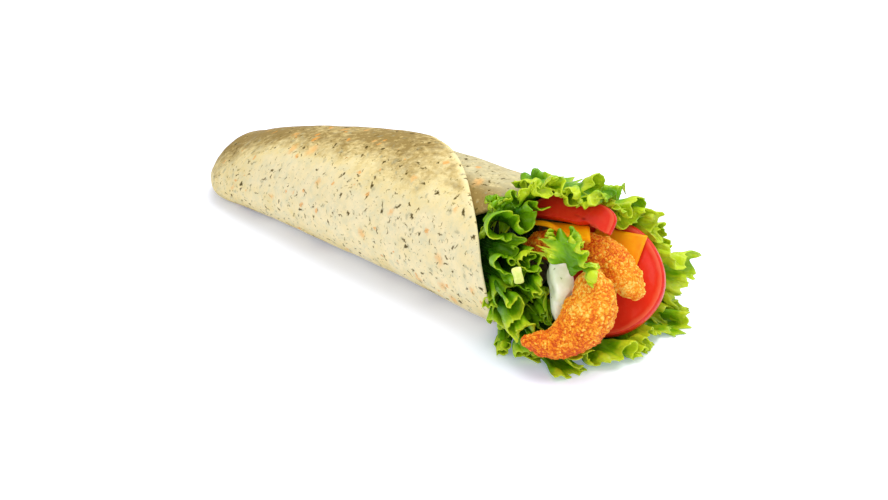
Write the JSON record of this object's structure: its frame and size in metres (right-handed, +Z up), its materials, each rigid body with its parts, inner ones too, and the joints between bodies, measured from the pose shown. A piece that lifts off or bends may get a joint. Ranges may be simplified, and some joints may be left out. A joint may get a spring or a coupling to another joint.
{
  "type": "shrimp wrap",
  "caption": "Herb tortilla rolled into a cone that lies on its side, with lettuce, breaded shrimps, tomato, cheese and white sauce showing in its open end.",
  "frame": {"origin": "on the table under the middle of the footprint, on the pressed-flat underside of the roll", "axes": "+X along the roll towards its filled open end, +Y towards the far side, +Z up"},
  "size_m": [0.2731, 0.0975, 0.078],
  "materials": {
    "tortilla": "matt baked wheat dough with toasted patches, herb flecks and orange specks",
    "lettuce": "fresh waxy leaf, mid green with yellow-green ruffled margins",
    "breaded_shrimp": "fried orange crumb crust, rough with small highlights",
    "tomato": "wet cut flesh with a smooth glossy skin",
    "cheese": "smooth semi-soft slice with a faint sheen",
    "sauce": "thick glossy white sauce with green herb bits"
  },
  "bodies": {
    "root": {"tortilla": "tortilla", "lettuce": "lettuce", "leaf_top": "lettuce", "leaf_far": "lettuce", "leaf_bottom": "lettuce", "leaf_middle": "lettuce", "shrimp_front": "breaded_shrimp", "shrimp_back": "breaded_shrimp", "shrimp_inner": "breaded_shrimp", "tomato_right": "tomato", "tomato_top": "tomato", "cheese_right": "cheese", "cheese_top": "cheese", "sauce": "sauce"}
  },
  "joints": []
}
